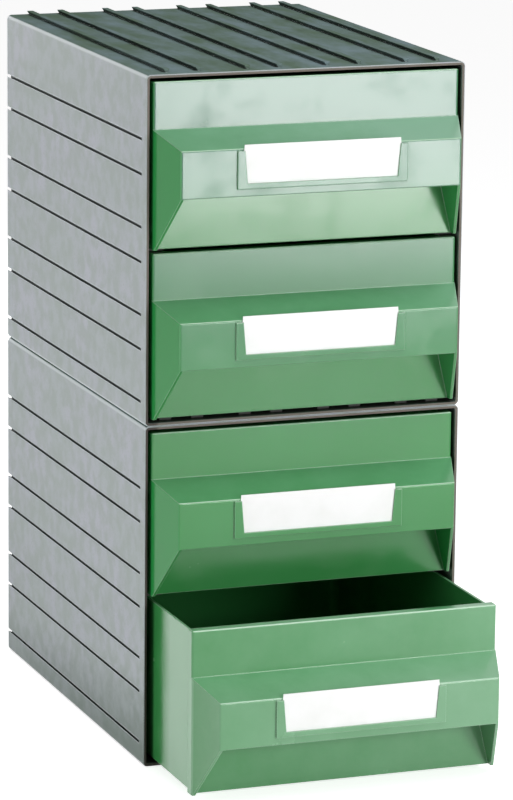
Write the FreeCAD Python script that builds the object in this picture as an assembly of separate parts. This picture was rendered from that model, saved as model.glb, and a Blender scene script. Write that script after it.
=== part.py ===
import FreeCAD, Part
import math
import os
from FreeCAD import Vector

# Tray storage unit: two equal housings stacked, each with two drawers.
# Millimetres. X is the width, the drawers open towards -Y, and Z is up.
# The origin is on the floor, under the middle of the housings.

# Housing
module_width = 285.0
module_depth = 388.0
module_height = 297.3
wall = 2.8
housing_corner = 4.0
rim_bevel = 0.8

# Drawer fronts in the housing's mouth
front_gap = 3.2
drawer_gap = 3.3
slide_gap = 0.35
close_gap = 0.6

# Dovetail rails that hold units together, and the slots that take them
rail_root = 1.8
rail_head = 5.4
rail_height = 3.0
rail_fit = 0.3
channel_wall = 2.4
channel_cap = 1.4
top_pair_count = 4
top_pair_pitch = 71.25
top_pair_spacing = 28.5
side_pair_pitch = 74.3
side_pair_spacing = 29.5
pair_rows_down = 2
pair_rows_up = 1

# Rear frame and the panel that snaps into it
rear_frame_depth = 12.0
rear_lip_depth = 2.0
rear_lip_height = 2.0
panel_fit = 0.25
panel_wall = 2.2
panel_rib = 1.8
panel_rib_height = 5.0
panel_columns = 4
panel_rows = 3
bead_length = 24.0
bead_width = 4.0
bead_height = 0.9
bead_spacing = 180.0

# Runner strips under the upper drawer
ledge_width = 14.0
guide_gap = 0.5
runner_rise = 3.5
runner_setback = 2.5

# Drawer front
front_wall = 2.5
skirt_depth = 9.0
front_edge_round = 2.0
band_height = 40.0
shelf_drop = 13.0
visor_height = 40.0
visor_reach = 37.0
visor_round = 1.5
band_bevel = 0.8
cheek_taper = 12.0
cheek_foot = 2.0
recess_setback = 4.0

# Tray
tray_side_gap = 3.0
tray_rear_gap = 17.0
tray_drop = 2.5
tray_wall = 2.2
tray_corner = 10.0
tray_bevel = 1.0
tray_fit = 0.2

# Snap hooks between front and tray
hook_height = 10.0
hook_length = 9.0
hook_reach = 1.8
hook_setback = 9.0
hook_fit = 0.3
catch_width = 3.0
hook_low = 50.0
hook_high = 120.0
tongue_height = 16.0
tongue_length = 28.0

# Stops that keep an open drawer in its housing
drawer_travel = 280.0
stop_height = 75.0
stop_width = 10.0
stop_setback = 12.0
stop_depth = 6.0
stop_gap = 1.5
lug_reach = 3.0
lug_length = 12.0

# Label card and its holder on the visor
card_width = 143.0
card_height = 35.5
card_thickness = 0.5
card_show = 3.5
card_fit = 0.3
holder_cover = 2.0
holder_side = 3.8
holder_foot = 1.5
holder_rail = 3.0
holder_lip = 1.0
holder_slant = 2.6

# The drawers from the top: how far each is pulled out
drawers_per_module = 2
lowest_opening = 105.0
drawer_opening = (0.0, 0.0, 0.0, lowest_opening)

# Derived sizes
edge_margin = wall + front_gap
front_half = module_width / 2 - edge_margin
front_height = (module_height - 2 * edge_margin + drawer_gap) / drawers_per_module - drawer_gap
level_step = front_height + drawer_gap
slot_mouth = rail_root + 2 * rail_fit
slot_floor = rail_head + 2 * rail_fit
slot_depth = rail_height + rail_fit
channel_depth = slot_depth + channel_wall
channel_width = slot_floor + 2 * channel_wall
channel_start = skirt_depth + close_gap
slot_start = channel_start + channel_cap
rail_start = slot_start + rail_fit
inner_half = module_width / 2 - wall
front_y = -module_depth / 2
back_y = module_depth / 2
frame_y = back_y - rear_frame_depth
ledge_top = edge_margin + level_step - slide_gap
ledge_bottom = edge_margin + front_height + slide_gap
runner_rail_z = ledge_top + runner_rise
shelf_back = front_height - band_height
shelf_front = shelf_back - shelf_drop
visor_bottom = shelf_front - visor_height
tip_half = front_half - cheek_taper
tray_half_width = front_half - tray_side_gap
tray_length = module_depth - rear_frame_depth - skirt_depth - tray_rear_gap
tray_height = front_height - tray_drop
tray_inner = tray_half_width - tray_wall
tongue_half = tray_inner - hook_reach - 2 * tray_fit

# How far a piece reaches into another before they are joined or cut, and the width of a touch
overlap = 1.0
touch = 0.01


def block(x_range, y_range, z_range):
    corner = Vector(x_range[0], y_range[0], z_range[0])
    size = (x_range[1] - x_range[0], y_range[1] - y_range[0], z_range[1] - z_range[0])
    return Part.makeBox(*size, corner)


def filled(corners):
    return Part.Face(Part.makePolygon(corners + corners[:1]))


def prism_x(outline, x_range):
    face = filled([Vector(x_range[0], y, z) for y, z in outline])
    return face.extrude(Vector(x_range[1] - x_range[0], 0, 0))


def prism_y(outline, y_range):
    face = filled([Vector(x, y_range[0], z) for x, z in outline])
    return face.extrude(Vector(0, y_range[1] - y_range[0], 0))


def prism_z(outline, z_range):
    face = filled([Vector(x, y, z_range[0]) for x, y in outline])
    return face.extrude(Vector(0, 0, z_range[1] - z_range[0]))


def mirrored_outline(points):
    return points + [(-a, b) for a, b in reversed(points)]


def mirrored(shape):
    return shape.mirror(Vector(0, 0, 0), Vector(1, 0, 0))


def both_sides(shapes):
    return shapes + [mirrored(shape) for shape in shapes]


def edges_where(shape, test):
    return [edge for edge in shape.Edges if test(edge.BoundBox)]


def runs_along_y(box):
    return box.YLength > box.XLength and box.YLength > box.ZLength


def rounded_bar(half_width, z_range, y_range, radius):
    bar = block((-half_width, half_width), y_range, z_range)
    return bar.makeFillet(radius, edges_where(bar, runs_along_y))


# Rails and slots share one dovetail outline: across the rail, and out from the wall.
def dovetail(root, head, height):
    half = [(root / 2, -overlap), (root / 2, 0), (head / 2, height)]
    return mirrored_outline(half)


def rail_outline():
    return dovetail(rail_root, rail_head, rail_height)


def slot_outline():
    return dovetail(slot_mouth, slot_floor, slot_depth)


def top_places():
    centres = [(n - (top_pair_count - 1) / 2) * top_pair_pitch for n in range(top_pair_count)]
    return [centre + side * top_pair_spacing / 2 for centre in centres for side in (-1, 1)]


def side_places():
    rows = [runner_rail_z + n * side_pair_pitch for n in range(-pair_rows_down, pair_rows_up + 1)]
    places = [row + side * side_pair_spacing / 2 for row in rows for side in (-1, 1)]
    edge = channel_depth + channel_width / 2
    return [z for z in places if edge < z < module_height - edge]


def housing_rails():
    y_range = (front_y + rail_start, back_y)
    on_top = [[(x + a, module_height + out) for a, out in rail_outline()] for x in top_places()]
    on_right = [[(module_width / 2 + out, z + a) for a, out in rail_outline()] for z in side_places()]
    return [prism_y(outline, y_range) for outline in on_top + on_right]


def housing_slots():
    y_range = (front_y + slot_start, back_y + overlap)
    below = [[(x + a, depth) for a, depth in slot_outline()] for x in top_places()]
    on_left = [[(depth - module_width / 2, z + a) for a, depth in slot_outline()] for z in side_places()]
    return [prism_y(outline, y_range) for outline in below + on_left]


def housing_channels():
    y_range = (front_y + channel_start, back_y)
    half = channel_width / 2
    skin = wall - overlap
    left = (skin - module_width / 2, channel_depth - module_width / 2)
    below = [block((x - half, x + half), y_range, (skin, channel_depth)) for x in top_places()]
    beside = [block(left, y_range, (z - half, z + half)) for z in side_places()]
    return below + beside


# Inner rails carry the runner strips.
def runner_rails():
    y_range = (front_y + channel_start + runner_setback, frame_y + overlap)
    outline = [(inner_half - out, runner_rail_z + a) for a, out in rail_outline()]
    return both_sides([prism_y(outline, y_range)])


def stop_ribs():
    start = front_y + stop_setback
    tip = tray_half_width + stop_gap
    root = inner_half + overlap
    end = start + stop_depth
    outline = [(root, start), (tip, start + stop_depth / 2), (tip, end), (root, end)]
    ribs = []
    for level in range(drawers_per_module):
        z = edge_margin + level * level_step + stop_height
        ribs.append(prism_z(outline, (z - stop_width / 2, z + stop_width / 2)))
    return both_sides(ribs)


def ring(outer_inset, inner_inset, y_range):
    outer = block((outer_inset - module_width / 2, module_width / 2 - outer_inset), y_range,
                  (outer_inset, module_height - outer_inset))
    inner = block((inner_inset - module_width / 2, module_width / 2 - inner_inset), y_range,
                  (inner_inset, module_height - inner_inset))
    return outer.cut(inner)


def beads(reach, length, width, y):
    side = module_width / 2 - channel_depth - panel_fit
    root, tip = side - overlap, side + reach
    outline = [(root, y - width / 2), (tip, y - width / 4), (tip, y + width / 4), (root, y + width / 2)]
    bars = []
    for way in (-1, 1):
        z = module_height / 2 + way * bead_spacing / 2
        bars.append(prism_z(outline, (z - length / 2, z + length / 2)))
    return both_sides(bars)


def bead_y():
    return frame_y + (rear_lip_depth + rear_frame_depth) / 2


def make_housing():
    body = rounded_bar(module_width / 2, (0, module_height), (front_y, back_y), housing_corner)
    body = body.makeChamfer(rim_bevel, edges_where(body, lambda box: box.YMax < front_y + overlap))
    room = rounded_bar(inner_half, (wall, module_height - wall), (front_y - overlap, back_y + overlap),
                       housing_corner - wall)
    body = body.cut(room)
    frame = ring(wall - overlap, channel_depth, (frame_y, back_y))
    lip = ring(wall - overlap, channel_depth + rear_lip_height, (frame_y, frame_y + rear_lip_depth))
    body = body.fuse(housing_channels() + runner_rails() + stop_ribs() + housing_rails() + [frame, lip])
    pockets = beads(bead_height + panel_fit, bead_length + 2 * panel_fit, bead_width + 2 * panel_fit, bead_y())
    return body.cut(housing_slots() + pockets).removeSplitter()


def make_rear_panel():
    low = channel_depth + panel_fit
    half = module_width / 2 - low
    high = module_height - low
    face_y = frame_y + rear_lip_depth
    pan = block((-half, half), (face_y, back_y), (low, high))
    hollow = block((panel_wall - half, half - panel_wall), (face_y + panel_wall, back_y + overlap),
                   (low + panel_wall, high - panel_wall))
    rib_y = (face_y + panel_wall - overlap, face_y + panel_wall + panel_rib_height)
    ribs = []
    for n in range(1, panel_columns):
        x = -half + 2 * half * n / panel_columns
        ribs.append(block((x - panel_rib / 2, x + panel_rib / 2), rib_y, (low + overlap, high - overlap)))
    for n in range(1, panel_rows):
        z = low + (high - low) * n / panel_rows
        z_range = (z - panel_rib / 2, z + panel_rib / 2)
        ribs.append(block((overlap - half, half - overlap), rib_y, z_range))
    bars = beads(bead_height, bead_length, bead_width, bead_y())
    return pan.cut(hollow).fuse(ribs + bars).removeSplitter()


# The right-hand strip; the left-hand one is its mirror image.
def make_runner():
    back = inner_half - tray_fit
    guide = tray_half_width + guide_gap
    tip = inner_half - front_gap - ledge_width
    top = runner_rail_z + channel_width / 2
    section = [(back, ledge_bottom), (tip, ledge_bottom), (tip, ledge_top),
               (guide, ledge_top), (guide, top), (back, top)]
    y_range = (front_y + channel_start + runner_setback, frame_y - close_gap)
    groove = [(inner_half - depth, runner_rail_z + a) for a, depth in slot_outline()]
    return prism_y(section, y_range).cut(prism_y(groove, (y_range[0] - overlap, y_range[1] + overlap)))


# Drawer pieces are modelled with the front band's face at y = 0 and the underside at z = 0.
def shelf_line(y):
    return shelf_back + y * shelf_drop / visor_reach


# The front seen from above and from the side gives its block; an inset shrinks both outlines.
def front_block(back, inset):
    above = mirrored_outline([(tip_half, -visor_reach), (front_half, 0), (front_half, back)])
    beside = [(back, 0), (back, front_height), (0, front_height), (0, shelf_back),
              (-visor_reach, shelf_front), (-visor_reach, visor_bottom), (-cheek_foot, 0)]
    plan = filled([Vector(x, y, 0) for x, y in above])
    side = filled([Vector(-front_half, y, z) for y, z in beside])
    if inset:
        plan, side = [face.makeOffset2D(-inset, 2) for face in (plan, side)]
    return plan.extrude(Vector(0, 0, front_height)).common(side.extrude(Vector(2 * front_half, 0, 0)))


def make_front_shell():
    shell = front_block(skirt_depth, 0)

    def is_band_corner(box):
        on_side = min(abs(box.XMin - front_half), abs(box.XMax + front_half)) < touch
        return on_side and box.XLength < touch and box.ZMin > shelf_back - touch and box.YMax < touch

    def is_visor_edge(box):
        return box.YMax < touch - visor_reach

    def is_top_edge(box):
        return box.ZMin > front_height - touch and box.YMax < touch

    shell = shell.makeFillet(front_edge_round, edges_where(shell, is_band_corner))
    shell = shell.makeFillet(visor_round, edges_where(shell, is_visor_edge))
    return shell.makeChamfer(band_bevel, edges_where(shell, is_top_edge))


# The finger room widens downwards, along the cheeks' slanting edges.
def room_half(z):
    foot = front_half - cheek_taper * cheek_foot / visor_reach
    return foot - front_wall - (foot - tip_half) * z / visor_bottom


def room_block(offset):
    upper = room_half(visor_bottom) + offset
    lower = room_half(-overlap) + offset
    outline = mirrored_outline([(upper, shelf_back), (upper, visor_bottom), (lower, -overlap)])
    return prism_y(outline, (-visor_reach - overlap, recess_setback + offset))


def make_finger_room():
    under = front_wall * math.hypot(1, shelf_drop / visor_reach)
    top = shelf_back - under
    inside = front_wall - visor_reach
    outside = -visor_reach - overlap
    side = [(inside, shelf_line(inside) - under), (inside, visor_bottom), (outside, visor_bottom),
            (outside, -overlap), (recess_setback, -overlap), (recess_setback, top), (0, top)]
    return room_block(0).common(prism_x(side, (-front_half, front_half)))


def make_card_holder():
    face = -visor_reach
    half = card_width / 2 + card_fit + holder_side
    low = card_bottom() - holder_foot
    outer_y = (face - card_gap() - holder_lip, face + overlap)
    outer = block((-half, half), outer_y, (low, shelf_front - visor_round))
    room = card_width / 2 + card_fit
    slot = block((-room, room), (face - card_gap(), face), (card_bottom(), shelf_front + overlap))
    sill = card_bottom() + holder_rail
    sight = card_width / 2 - holder_cover
    window = mirrored_outline([(sight - holder_slant, sill), (sight, shelf_front + overlap)])
    opening = prism_y(window, (face - card_gap() - holder_lip - overlap, face))
    return outer.cut([slot, opening])


def card_gap():
    return card_thickness + card_fit


def card_bottom():
    return shelf_front + card_show - card_height


# Hooks on tongues point outwards and catch behind the ribs inside the tray's sides.
def make_hooks():
    catch = skirt_depth + hook_setback
    outline = [(tongue_half - overlap, catch), (tongue_half, catch), (tongue_half + hook_reach, catch),
               (tongue_half, catch + hook_length), (tongue_half - overlap, catch + hook_length)]
    tongue_x = (tongue_half - front_wall, tongue_half)
    pieces = []
    for z in (hook_low, hook_high):
        tongue_z = (z - tongue_height / 2, z + tongue_height / 2)
        pieces.append(prism_z(outline, (z - hook_height / 2, z + hook_height / 2)))
        pieces.append(block(tongue_x, (front_wall - overlap, tongue_length), tongue_z))
    low_z = (hook_low - tongue_height / 2, hook_low + tongue_height / 2)
    panel_y = (recess_setback, recess_setback + front_wall)
    pieces.append(block((room_half(visor_bottom), tongue_half), panel_y, low_z))
    return both_sides(pieces)


def make_drawer_front():
    core = front_block(skirt_depth + front_wall + overlap, front_wall)
    shell = make_front_shell().cut([core.cut(room_block(front_wall)), make_finger_room()])
    return shell.fuse([make_card_holder()] + make_hooks()).removeSplitter()


def tray_block(inset, top):
    half = tray_half_width - inset
    y_range = (skirt_depth - overlap, skirt_depth + tray_length - inset)
    solid = block((-half, half), y_range, (inset, top))
    return solid.makeFillet(tray_corner - inset, edges_where(
        solid, lambda box: box.YMin > y_range[1] - touch and box.ZLength > box.XLength))


# Floor, sides and back; the drawer front closes the open end.
def tray_shell():
    solid = tray_block(0, tray_height)
    solid = solid.makeChamfer(tray_bevel, edges_where(
        solid, lambda box: box.ZMax < touch and box.YMax > skirt_depth))
    open_end = block((-front_half, front_half), (0, skirt_depth), (-overlap, front_height))
    return solid.cut([tray_block(tray_wall, front_height), open_end])


def stop_lugs():
    start = stop_setback + stop_depth + close_gap + drawer_travel
    tip = tray_half_width + lug_reach
    root = tray_half_width - overlap
    outline = [(root, start), (tip, start), (tray_half_width, start + lug_length), (root, start + lug_length)]
    return both_sides([prism_z(outline, (stop_height - stop_width / 2, stop_height + stop_width / 2))])


def catch_ribs():
    back = skirt_depth + hook_setback - hook_fit
    tip = tongue_half + tray_fit
    root = tray_inner + overlap
    outline = [(root, back - catch_width), (tip, back - catch_width / 2), (tip, back), (root, back)]
    half = hook_height / 2
    return both_sides([prism_z(outline, (z - half, z + half)) for z in (hook_low, hook_high)])


def make_tray():
    return tray_shell().fuse(stop_lugs() + catch_ribs()).removeSplitter()


# The card narrows upwards, so that its top is as wide as the holder's window.
def make_card():
    face = -visor_reach - card_fit / 2
    low = card_bottom()
    half = card_width / 2
    outline = mirrored_outline([(half, low), (half - holder_cover, low + card_height)])
    return prism_y(outline, (face - card_thickness, face))


def placed(shape, offset):
    copy = shape.copy()
    copy.translate(offset)
    return copy


def export(shape, name):
    shape.exportStep(os.path.join("parts", name + ".step"))


def export_modules():
    housing = make_housing()
    panel = make_rear_panel()
    runner = make_runner()
    for name, base in (("lower", 0.0), ("upper", module_height)):
        lift = Vector(0, 0, base)
        export(placed(housing, lift), name + "_housing")
        export(placed(panel, lift), name + "_rear_panel")
        export(placed(runner, lift), name + "_right_runner")
        export(placed(mirrored(runner), lift), name + "_left_runner")


def export_drawers():
    front = make_drawer_front()
    tray = make_tray()
    card = make_card()
    for number, opening in enumerate(drawer_opening, start=1):
        module, level = divmod(len(drawer_opening) - number, drawers_per_module)
        base = module * module_height + edge_margin + level * level_step
        offset = Vector(0, front_y - opening, base)
        export(placed(front, offset), "drawer_%d_front" % number)
        export(placed(tray, offset), "drawer_%d_tray" % number)
        export(placed(card, offset), "label_card_%d" % number)


os.makedirs("parts", exist_ok=True)
export_modules()
export_drawers()
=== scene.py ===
import math

import bmesh
import bpy
from mathutils import Matrix, Vector

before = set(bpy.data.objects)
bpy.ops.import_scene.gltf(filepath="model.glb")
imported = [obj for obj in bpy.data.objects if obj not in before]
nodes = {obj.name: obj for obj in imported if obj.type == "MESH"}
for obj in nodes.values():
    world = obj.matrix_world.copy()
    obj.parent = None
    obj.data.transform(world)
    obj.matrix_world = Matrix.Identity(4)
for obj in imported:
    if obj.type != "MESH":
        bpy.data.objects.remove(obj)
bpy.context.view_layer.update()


def srgb(red, green, blue):
    def linear(value):
        share = value / 255
        return share / 12.92 if share <= 0.04045 else ((share + 0.055) / 1.055) ** 2.4
    return (linear(red), linear(green), linear(blue), 1.0)


# A socket that can be added, multiplied and so on; each sum adds its Math node.
class Signal:
    def __init__(self, shader, socket):
        self.shader = shader
        self.socket = socket

    def maths(self, operation, *values):
        return self.shader.add("ShaderNodeMath", {"operation": operation}, dict(enumerate(values))).out()

    def __add__(self, other):
        return self.maths("ADD", self, other)

    def __radd__(self, other):
        return self.maths("ADD", other, self)

    def __sub__(self, other):
        return self.maths("SUBTRACT", self, other)

    def __rsub__(self, other):
        return self.maths("SUBTRACT", other, self)

    def __mul__(self, other):
        return self.maths("MULTIPLY", self, other)

    def __rmul__(self, other):
        return self.maths("MULTIPLY", other, self)

    def clamped(self, low=0.0, high=1.0):
        return self.maths("MINIMUM", self.maths("MAXIMUM", self, low), high)

    # Rises from nothing to its most between two levels, which may also run downwards.
    def ramp(self, levels, most=1.0):
        start, end = levels
        return ((self - start) * (most / (end - start))).clamped(0.0, most)

    def above(self, level, width):
        return self.ramp((level, level + width))

    def below(self, level, width):
        return self.ramp((level, level - width))


# A node just added, whose outputs are asked for by name or number.
class Step:
    def __init__(self, shader, node):
        self.shader = shader
        self.node = node

    def out(self, name=0):
        return Signal(self.shader, self.node.outputs[name])


class Shader:
    def __init__(self, tree):
        self.tree = tree
        self.tree.nodes.clear()

    def add(self, kind, settings=None, inputs=None):
        node = self.tree.nodes.new(kind)
        for name, value in (settings or {}).items():
            setattr(node, name, value)
        for name, value in (inputs or {}).items():
            socket = node.inputs[name] if isinstance(name, int) else self.openSocket(node, name)
            if isinstance(value, Signal):
                self.tree.links.new(value.socket, socket)
            else:
                socket.default_value = value
        return Step(self, node)

    # A Mix node has several sockets of one name, of which one is in use.
    def openSocket(self, node, name):
        return [socket for socket in node.inputs if socket.name == name and socket.enabled][0]

    def place(self):
        return self.add("ShaderNodeTexCoord").out("Object")

    def noise(self, place, size, detail, roughness=0.5):
        values = {"Vector": place, "Scale": 1 / size, "Detail": detail, "Roughness": roughness}
        return self.add("ShaderNodeTexNoise", None, values).out()

    def stretched(self, place, scale):
        return self.add("ShaderNodeMapping", None, {"Vector": place, "Scale": scale}).out()

    def tinted(self, first, second, share):
        values = {"Factor": share, "A": first, "B": second}
        mix = self.add("ShaderNodeMix", {"data_type": "RGBA"}, values)
        return Signal(self, [socket for socket in mix.node.outputs if socket.enabled][0])

    def parts(self, vector):
        split = self.add("ShaderNodeSeparateXYZ", None, {0: vector})
        return split.out(0), split.out(1), split.out(2)

    def either(self, first, second):
        return first.maths("MAXIMUM", first, second)

    # How far one direction turns away from another, from 0 where they agree.
    def turned(self, first, second):
        product = self.add("ShaderNodeVectorMath", {"operation": "DOT_PRODUCT"}, {0: first, 1: second})
        return 1.0 - product.out("Value")

    # From 1 in the open down to 0 where other faces stand close all round.
    def openness(self, reach):
        return self.add("ShaderNodeAmbientOcclusion", {"samples": 8}, {"Distance": reach}).out("AO")

    # The direction of a face as if its edges were softly rounded.
    def rounded(self, radius):
        return self.add("ShaderNodeBevel", {"samples": 6}, {"Radius": radius}).out()

    def bumped(self, height, strength, depth, normal):
        values = {"Height": height, "Strength": strength, "Distance": depth, "Normal": normal}
        return self.add("ShaderNodeBump", None, values).out()


def newMaterial(name):
    material = bpy.data.materials.new(name)
    material.use_nodes = True
    return material, Shader(material.node_tree)


def finishMaterial(material, shader, surface):
    shader.add("ShaderNodeOutputMaterial", None, {"Surface": surface})
    return material


# Widths in metres over which one colour gives way to the next, and a noise's usual value.
hairEdge = 0.00025
crispEdge = 0.0005
softEdge = 0.0025
middle = 0.5


# In the looks below, a pair of levels such as bluishFrom is where a colour starts to come in and
# where it is at its most. Noise sizes, reaches, heights and places are in metres.
housingLook = {
    "colour": srgb(165, 173, 175),
    "bluish": srgb(172, 176, 184),
    "bluishFrom": (0.4, 0.65),
    "greenish": srgb(152, 162, 156),
    "mottleFrom": (0.4, 0.6),
    "mottleMost": 0.6,
    "speckFrom": (0.6, 0.7),
    "speckMost": 0.5,
    # Painted shade at the foot.
    "footShade": srgb(101, 115, 108),
    "footShadeHeight": 0.064,
    "footShadeRise": 0.11,
    "footShadeWander": 0.03,
    "footShadeFade": (0.0, 0.0692),
    "footShadeMost": 0.9,
    # Painted shade on the front rim, deeper low on the left.
    "rimShade": srgb(104, 98, 90),
    "rimDeepShade": srgb(58, 52, 46),
    "rimFront": -0.1925,
    "rimFacing": (-0.8333, -0.9167),
    "deepShadeHeight": (0.44, 0.2971),
    "deepShadeSide": -0.13,
    # Painted highlight on edges.
    "edgeHighlight": srgb(206, 214, 216),
    "highlightReach": 0.0018,
    "highlightEven": 0.4,
    "highlightFrom": (0.0214, 0.1286),
    "highlightMost": 0.75,
    "cornerEven": 0.5,
    "cornerFrom": (0.0, 0.1333),
    "cornerMost": 0.8,
    # Painted shade inside the room for the drawers.
    "inside": srgb(66, 68, 64),
    "insideHalfWidth": 0.1385,
    "insideTop": 0.5925,
    "insideBack": 0.185,
    # Dust on top, darkened by painted shade.
    "topFace": 0.5947,
    "dustAndPaintedLight": srgb(104, 124, 108),
    "paleDustAndPaintedLight": srgb(130, 149, 154),
    "paleStreakFrom": (0.3571, 0.7143),
    "dustAndPaintedLightFacing": (0.75, 0.875),
    "dustRecessShade": 0.85,
    "topMottle": 0.5,
    "streakStretch": (1.0, 0.35, 1.0),
    "streak": {"size": 0.024, "detail": 4.0, "roughness": 0.6},
    # Painted shade in grooves and gaps.
    "recessShade": srgb(42, 46, 41),
    "grooveReach": 0.0045,
    "grooveFrom": (0.625, 0.0),
    "gapReach": 0.03,
    "gapFrom": (0.4, 0.2),
    "unshadedFrom": (0.625, 0.0),
    "roughness": 0.46,
    "roughnessMottle": 0.12,
    "dustRoughness": 0.85,
    "shine": 0.25,
    "cloud": {"size": 0.075, "detail": 3.0},
    "mottle": {"size": 0.016, "detail": 3.0},
    "speck": {"size": 0.0022, "detail": 1.0},
    "grain": {"size": 0.0007, "detail": 2.0},
    "grainStrength": 0.15,
    "grainDepth": 0.0002,
    "edgeRadius": 0.0007,
}


# Moulded grey plastic. Painted shade darkens its grooves and gaps, its foot, and its front rim, which is
# darkest low on the left. Painted highlights pale its edges, and matt dust darkened by painted shade
# lies on top.
def makeHousingPlastic(look):
    material, shader = newMaterial("housingPlastic")
    place = shader.place()
    across, along, height = shader.parts(place)
    facing = shader.add("ShaderNodeNewGeometry").out("True Normal")
    rightward, backward, upward = shader.parts(facing)
    cloud = shader.noise(place, **look["cloud"])
    mottle = shader.noise(place, **look["mottle"])
    speck = shader.noise(place, **look["speck"])
    grain = shader.noise(place, **look["grain"])
    colour = shader.tinted(look["colour"], look["bluish"], cloud.ramp(look["bluishFrom"]))
    green = look["greenish"]
    colour = shader.tinted(colour, green, mottle.ramp(look["mottleFrom"], look["mottleMost"]))
    colour = shader.tinted(colour, green, speck.ramp(look["speckFrom"], look["speckMost"]))

    # Painted shade darkens the foot, higher up towards the front.
    low = look["footShadeHeight"] - along * look["footShadeRise"] - height
    low = low + (mottle - middle) * look["footShadeWander"]
    colour = shader.tinted(colour, look["footShade"], low.ramp(look["footShadeFade"], look["footShadeMost"]))

    # Painted shade darkens the grooves and the gaps around the drawers.
    grooves = shader.openness(look["grooveReach"]).ramp(look["grooveFrom"])
    gaps = shader.openness(look["gapReach"]).ramp(look["gapFrom"])
    closed = shader.either(grooves, gaps)

    # Painted highlights pale the edges and the long upper corner, outside the painted shade.
    highlighted = shader.turned(facing, shader.rounded(look["highlightReach"])) * (mottle + look["highlightEven"])
    highlighted = highlighted.ramp(look["highlightFrom"], look["highlightMost"])
    corner = rightward * rightward * upward * upward * (mottle + look["cornerEven"])
    corner = corner.ramp(look["cornerFrom"], look["cornerMost"])
    highlighted = shader.either(highlighted, corner) * closed.ramp(look["unshadedFrom"])
    colour = shader.tinted(colour, look["edgeHighlight"], highlighted)

    # Painted shade darkens the front rim to brownish, deeper low on the left.
    onRim = along.below(look["rimFront"], hairEdge) * backward.ramp(look["rimFacing"])
    deepShade = height.ramp(look["deepShadeHeight"]) * across.below(look["deepShadeSide"], softEdge)
    rimShade = shader.tinted(look["rimShade"], look["rimDeepShade"], deepShade)
    colour = shader.tinted(colour, rimShade, onRim)

    # Painted shade darkens the room for the drawers.
    within = across.below(look["insideHalfWidth"], crispEdge)
    within = within * across.above(-look["insideHalfWidth"], crispEdge)
    within = within * along.above(look["rimFront"], crispEdge)
    within = within * along.below(look["insideBack"], crispEdge)
    within = within * height.below(look["insideTop"], crispEdge)
    colour = shader.tinted(colour, look["inside"], within)

    soft = shader.rounded(look["edgeRadius"])
    normal = shader.bumped(grain, look["grainStrength"], look["grainDepth"], soft)
    # The base colour takes the painted shade in the grooves and gaps.
    plastic = shader.add("ShaderNodeBsdfPrincipled", None, {
        "Base Color": shader.tinted(colour, look["recessShade"], closed),
        "Roughness": mottle * look["roughnessMottle"] + look["roughness"],
        "Specular IOR Level": look["shine"],
        "Normal": normal,
    }).out()

    # Matt dust covers what faces up, in faint streaks from front to back; painted shade darkens it, most
    # in the grooves.
    streaks = shader.noise(shader.stretched(place, look["streakStretch"]), **look["streak"])
    dustAndShadeColour = shader.tinted(look["dustAndPaintedLight"], look["paleDustAndPaintedLight"], streaks.ramp(look["paleStreakFrom"]))
    recessShadeAndMottle = closed * look["dustRecessShade"] + (middle - mottle) * look["topMottle"]
    dustAndPaintedLight = shader.add("ShaderNodeBsdfPrincipled", None, {
        "Base Color": shader.tinted(dustAndShadeColour, look["recessShade"], recessShadeAndMottle.clamped()),
        "Roughness": look["dustRoughness"],
        "Specular IOR Level": 0.0,
        "Normal": normal,
    }).out()
    onTop = height.above(look["topFace"], hairEdge)
    dustAndPaintedLightShare = shader.either(upward.ramp(look["dustAndPaintedLightFacing"]), onTop) * (1.0 - within)
    surface = shader.add("ShaderNodeMixShader", None, {0: dustAndPaintedLightShare, 1: plastic, 2: dustAndPaintedLight}).out()
    return finishMaterial(material, shader, surface)


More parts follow.
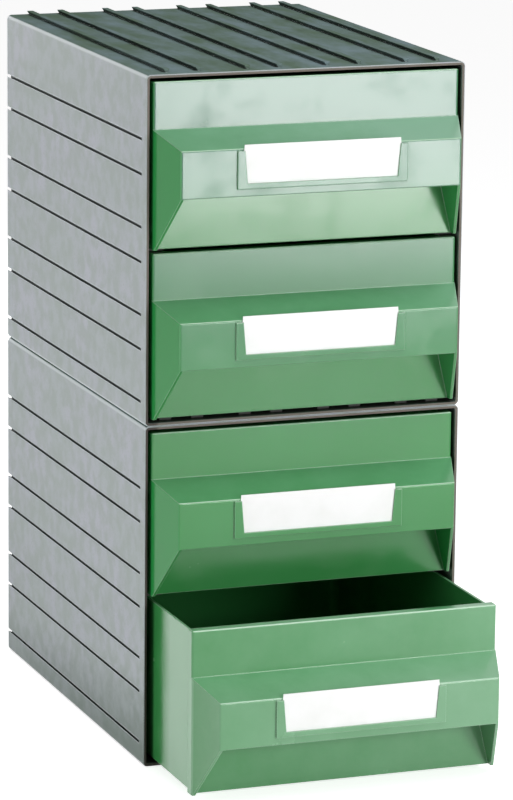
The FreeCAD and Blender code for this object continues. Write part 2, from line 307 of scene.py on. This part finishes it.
drawerLook = {
    "colour": srgb(62, 142, 78),
    "deep": srgb(54, 134, 68),
    "deepFrom": (0.25, 0.75),
    # Painted shade on the left cheeks.
    "cheekShade": srgb(34, 142, 66),
    "cheekFacing": (-0.5, -0.6667),
    "cheekShare": 0.8,
    "lowestTop": 0.148,  # the upper edge of the bottom drawer, which has its own painted sheen
    # Painted sheen on the upper fronts.
    "upperSheen": srgb(78, 121, 101),
    "upperSheenHeight": (0.275, 0.5528),
    "upperSheenFacing": (-0.8, -0.9667),
    "bandFace": -0.1925,
    # Dust with a painted sheen on the shelves.
    "dustAndPaintedLight": srgb(108, 172, 126),
    "paleDustAndPaintedLight": srgb(150, 192, 166),
    "dustAndPaintedLightFacing": (0.7667, 0.9333),
    "shelfBase": 0.35,
    "shelfByHeight": 0.9,
    "shelfByAcross": 1.1,
    "shelfSmudge": 0.6,
    "shelfMost": 0.9,
    "shelfBack": -0.192,
    "paleHeight": 0.42,
    "paleByHeight": 6.0,
    "paleByAcross": 4.0,
    # Painted sheen on the bottom drawer.
    "lowSheen": srgb(152, 190, 162),
    "lowSheenFront": -0.294,
    "lowSheenBand": -0.299,
    "lowSheenBase": 0.26,
    "lowSheenByReach": 5.4,
    "lowSheenByAcross": 0.8,
    "lowSheenSmudge": 0.25,
    "lowSheenMost": 0.7,
    "lowSheenFacing": (0.125, -0.125),
    "lowSheenSide": -0.222,
    "sideFacing": (-0.875, -1.0),
    "sideBlend": 0.0143,
    "sideStart": -0.302,
    "sideStartBlend": 0.00125,
    "sideAcross": -0.12,
    "sideShare": 0.55,
    # Painted highlight on edges.
    "edgeHighlight": srgb(186, 222, 194),
    "highlightReach": 0.0013,
    "highlightEven": 0.4,
    "highlightFrom": (0.03, 0.1675),
    "highlightMost": 0.55,
    "cornerFrom": (-0.3667, -0.4917),
    "cornerMost": 0.75,
    # Painted shade in inner corners.
    "recessShade": srgb(20, 52, 26),
    "cornerReach": 0.003,
    "recessShadeFrom": (0.5, 0.0),
    "recessShadeMost": 0.7,
    "unshadedFrom": (0.5, 0.0),
    "roughness": 0.17,
    "smudgeFrom": (0.5, 1.0),
    "smudgeMost": 0.25,
    "cloud": {"size": 0.11, "detail": 2.0},
    "ripple": {"size": 0.03, "detail": 1.0},
    "rippleStretch": (1.0, 1.0, 0.4),
    "rippleStrength": 0.12,
    "rippleDepth": 0.001,
    "smudge": {"size": 0.04, "detail": 5.0, "roughness": 0.6},
    "edgeRadius": 0.0011,
}


# Glossy green plastic, faintly wavy, with smudges that dull its shine here and there. A painted sheen
# pales the upper fronts, and the face and left side of the bottom drawer, which stands open. Dust with a
# painted sheen lies on the shelves, painted highlights pale the edges, and painted shade darkens the
# left cheeks and the inner corners.
def makeDrawerPlastic(look):
    material, shader = newMaterial("drawerPlastic")
    place = shader.place()
    across, along, height = shader.parts(place)
    facing = shader.add("ShaderNodeNewGeometry").out("True Normal")
    rightward, backward, upward = shader.parts(facing)
    cloud = shader.noise(place, **look["cloud"])
    smudge = shader.noise(place, **look["smudge"])
    ripple = shader.noise(shader.stretched(place, look["rippleStretch"]), **look["ripple"])
    colour = shader.tinted(look["colour"], look["deep"], cloud.ramp(look["deepFrom"]))

    # Painted shade deepens the left cheeks, and a painted sheen pales the faces of the upper drawers.
    shadedCheek = rightward.ramp(look["cheekFacing"]) * height.above(look["lowestTop"], softEdge)
    colour = shader.tinted(colour, look["cheekShade"], shadedCheek * look["cheekShare"])
    upperSheen = height.ramp(look["upperSheenHeight"]) * backward.ramp(look["upperSheenFacing"])
    colour = shader.tinted(colour, look["upperSheen"], upperSheen * along.below(look["bandFace"], crispEdge))

    # Dust with a painted sheen lies on the shelves, thicker and paler higher up and to the right.
    dustAndPaintedLightShare = look["shelfBase"] + height * look["shelfByHeight"] + across * look["shelfByAcross"]
    dustAndPaintedLightShare = (dustAndPaintedLightShare + (smudge - middle) * look["shelfSmudge"]).clamped(0.0, look["shelfMost"])
    dustAndPaintedLightShare = dustAndPaintedLightShare * upward.ramp(look["dustAndPaintedLightFacing"]) * along.below(look["shelfBack"], softEdge)
    pale = (height - look["paleHeight"]) * look["paleByHeight"] + across * look["paleByAcross"]
    dustAndPaintedLight = shader.tinted(look["dustAndPaintedLight"], look["paleDustAndPaintedLight"], pale.clamped())
    colour = shader.tinted(colour, dustAndPaintedLight, dustAndPaintedLightShare)

    # A painted sheen pales the faces of the bottom drawer, the more the further out they stand.
    lowSheenShare = look["lowSheenBase"] - (along - look["lowSheenBand"]) * look["lowSheenByReach"]
    lowSheenShare = lowSheenShare + across * look["lowSheenByAcross"] + (smudge - middle) * look["lowSheenSmudge"]
    lowSheenShare = lowSheenShare.clamped(0.0, look["lowSheenMost"]) * along.below(look["lowSheenFront"], crispEdge)
    colour = shader.tinted(colour, look["lowSheen"], lowSheenShare * backward.ramp(look["lowSheenFacing"]))

    # The painted sheen pales its left side too, up to where it enters the housing.
    sideSheenShare = rightward.ramp(look["sideFacing"]) * along.below(look["lowSheenSide"], look["sideBlend"])
    sideSheenShare = sideSheenShare * height.below(look["lowestTop"], softEdge)
    sideSheenShare = sideSheenShare * along.above(look["sideStart"], look["sideStartBlend"])
    sideSheenShare = sideSheenShare * across.below(look["sideAcross"], softEdge)
    colour = shader.tinted(colour, look["lowSheen"], sideSheenShare * look["sideShare"])

    # Painted shade darkens the inner corners. Painted highlights pale the outer edges, most of all the
    # visor's.
    closed = shader.openness(look["cornerReach"]).ramp(look["recessShadeFrom"], look["recessShadeMost"])
    highlighted = shader.turned(facing, shader.rounded(look["highlightReach"])) * (smudge + look["highlightEven"])
    highlighted = highlighted.ramp(look["highlightFrom"], look["highlightMost"])
    corner = (upward * backward).ramp(look["cornerFrom"], look["cornerMost"])
    highlighted = shader.either(highlighted, corner) * closed.ramp(look["unshadedFrom"])
    colour = shader.tinted(colour, look["edgeHighlight"], highlighted)

    soft = shader.rounded(look["edgeRadius"])
    # The base colour takes the painted shade in the inner corners.
    surface = shader.add("ShaderNodeBsdfPrincipled", None, {
        "Base Color": shader.tinted(colour, look["recessShade"], closed),
        "Roughness": smudge.ramp(look["smudgeFrom"], look["smudgeMost"]) + look["roughness"],
        "Normal": shader.bumped(ripple, look["rippleStrength"], look["rippleDepth"], soft),
    }).out()
    return finishMaterial(material, shader, surface)


cardLook = {
    "colour": srgb(250, 250, 250),
    "tint": srgb(243, 244, 242),
    "tintFrom": (0.4333, 0.7667),
    "cloud": {"size": 0.03, "detail": 3.0},
    "fibre": {"size": 0.0008, "detail": 4.0},
    "fibreStrength": 0.1,
    "fibreDepth": 0.0001,
    "roughness": 0.7,
    "roughnessFibre": 0.1,
    "shine": 0.2,
    "edgeRadius": 0.0002,
}


# Plain white card with a faint grain.
def makeCardPaper(look):
    material, shader = newMaterial("cardPaper")
    place = shader.place()
    fibre = shader.noise(place, **look["fibre"])
    cloud = shader.noise(place, **look["cloud"])
    soft = shader.rounded(look["edgeRadius"])
    surface = shader.add("ShaderNodeBsdfPrincipled", None, {
        "Base Color": shader.tinted(look["colour"], look["tint"], cloud.ramp(look["tintFrom"])),
        "Roughness": fibre * look["roughnessFibre"] + look["roughness"],
        "Specular IOR Level": look["shine"],
        "Normal": shader.bumped(fibre, look["fibreStrength"], look["fibreDepth"], soft),
    }).out()
    return finishMaterial(material, shader, surface)


def dress(material, belongs):
    for name, node in nodes.items():
        if belongs(name):
            node.data.materials.clear()
            node.data.materials.append(material)


dress(makeHousingPlastic(housingLook), lambda name: "drawer" not in name and "card" not in name)
dress(makeDrawerPlastic(drawerLook), lambda name: "drawer" in name)
dress(makeCardPaper(cardLook), lambda name: "card" in name)
print("materials ready")


studio = {
    "floorColour": srgb(238, 238, 238),
    "floorHalfWidth": 6.0,
    "floorGlow": 0.75,
    "ambient": 0.22,
}


# Full where the camera or a reflection looks, so the paper is bright without lighting the part.
def seenDirectly(shader):
    rays = shader.add("ShaderNodeLightPath")
    seen = rays.out("Is Camera Ray") + rays.out("Is Glossy Ray") + rays.out("Is Transmission Ray")
    return seen.clamped()


def makeFloor(setup):
    material, shader = newMaterial("floorPaper")
    paper = shader.add("ShaderNodeBsdfDiffuse", None, {"Color": setup["floorColour"]}).out()
    strength = seenDirectly(shader) * setup["floorGlow"]
    glow = shader.add("ShaderNodeEmission", None, {"Strength": strength}).out()
    finishMaterial(material, shader, shader.add("ShaderNodeAddShader", None, {0: paper, 1: glow}).out())
    mesh = bpy.data.meshes.new("floor")
    sheet = bmesh.new()
    bmesh.ops.create_grid(sheet, x_segments=1, y_segments=1, size=setup["floorHalfWidth"])
    sheet.to_mesh(mesh)
    sheet.free()
    mesh.materials.append(material)
    floor = bpy.data.objects.new("floor", mesh)
    bpy.context.scene.collection.objects.link(floor)


def makeWorld(setup):
    world = bpy.data.worlds.new("studioAir")
    world.use_nodes = True
    bpy.context.scene.world = world
    shader = Shader(world.node_tree)
    strength = seenDirectly(shader) * (1.0 - setup["ambient"]) + setup["ambient"]
    air = shader.add("ShaderNodeBackground", None, {"Color": (1, 1, 1, 1), "Strength": strength}).out()
    shader.add("ShaderNodeOutputWorld", None, {"Surface": air})


lamps = {
    "keyPanel": {
        "place": (0.61, -1.70, 0.425), "aim": (0, -0.2, 0.33),
        "width": 0.56, "height": 0.56, "watts": 13.6,
    },
    "leftPanel": {
        "place": (-1.45, -0.22, 0.36), "aim": (0, 0, 0.3),
        "width": 0.7, "height": 0.9, "watts": 8.2,
    },
    "overhead": {
        "place": (0.5, -0.9, 2.3), "aim": (0, -0.1, 0.3),
        "width": 1.2, "height": 1.2, "watts": 23,
    },
    "backPanel": {
        "place": (-0.1, 2.0, 0.75), "aim": (0, 0.2, 0.3),
        "width": 1.2, "height": 0.9, "watts": 17,
    },
}


def makeLamp(name, setup):
    data = bpy.data.lights.new(name, "AREA")
    data.shape = "RECTANGLE"
    data.size = setup["width"]
    data.size_y = setup["height"]
    data.energy = setup["watts"]
    lamp = bpy.data.objects.new(name, data)
    bpy.context.scene.collection.objects.link(lamp)
    lamp.location = setup["place"]
    ahead = Vector(setup["aim"]) - Vector(setup["place"])
    lamp.rotation_euler = ahead.to_track_quat("-Z", "Y").to_euler()
    lamp.visible_camera = False


viewpoint = {
    "azimuth": -20.42,
    "elevation": 12.56,
    "roll": 0.60,
    "distance": 3.9501,
    "across": 0.0275,
    "rise": -0.0266,
    "seamHeight": 0.2973,
    "lens": 200.0,
    "sensor": 36.0,
    "farthest": 50,
}


# A long lens aimed near the stack's middle seam; across and rise shift its aim sideways and up.
def makeCamera(setup):
    turn = math.radians(setup["azimuth"])
    tilt = math.radians(setup["elevation"])
    roll = math.radians(setup["roll"])
    back = Vector((math.sin(turn) * math.cos(tilt), -math.cos(turn) * math.cos(tilt), math.sin(tilt)))
    right = Vector((math.cos(turn), math.sin(turn), 0))
    up = back.cross(right)
    target = Vector((0, 0, setup["seamHeight"])) + right * setup["across"] + up * setup["rise"]
    rotation = Matrix((right, up, back)).transposed() @ Matrix.Rotation(roll, 3, "Z")
    data = bpy.data.cameras.new("camera")
    data.lens = setup["lens"]
    data.sensor_width = setup["sensor"]
    data.clip_end = setup["farthest"]
    camera = bpy.data.objects.new("camera", data)
    bpy.context.scene.collection.objects.link(camera)
    camera.matrix_world = Matrix.Translation(target + back * setup["distance"]) @ rotation.to_4x4()
    bpy.context.scene.camera = camera


makeFloor(studio)
makeWorld(studio)
for lampName, lampSetup in lamps.items():
    makeLamp(lampName, lampSetup)
makeCamera(viewpoint)
bpy.context.scene.view_settings.view_transform = "Standard"
print("studio ready")
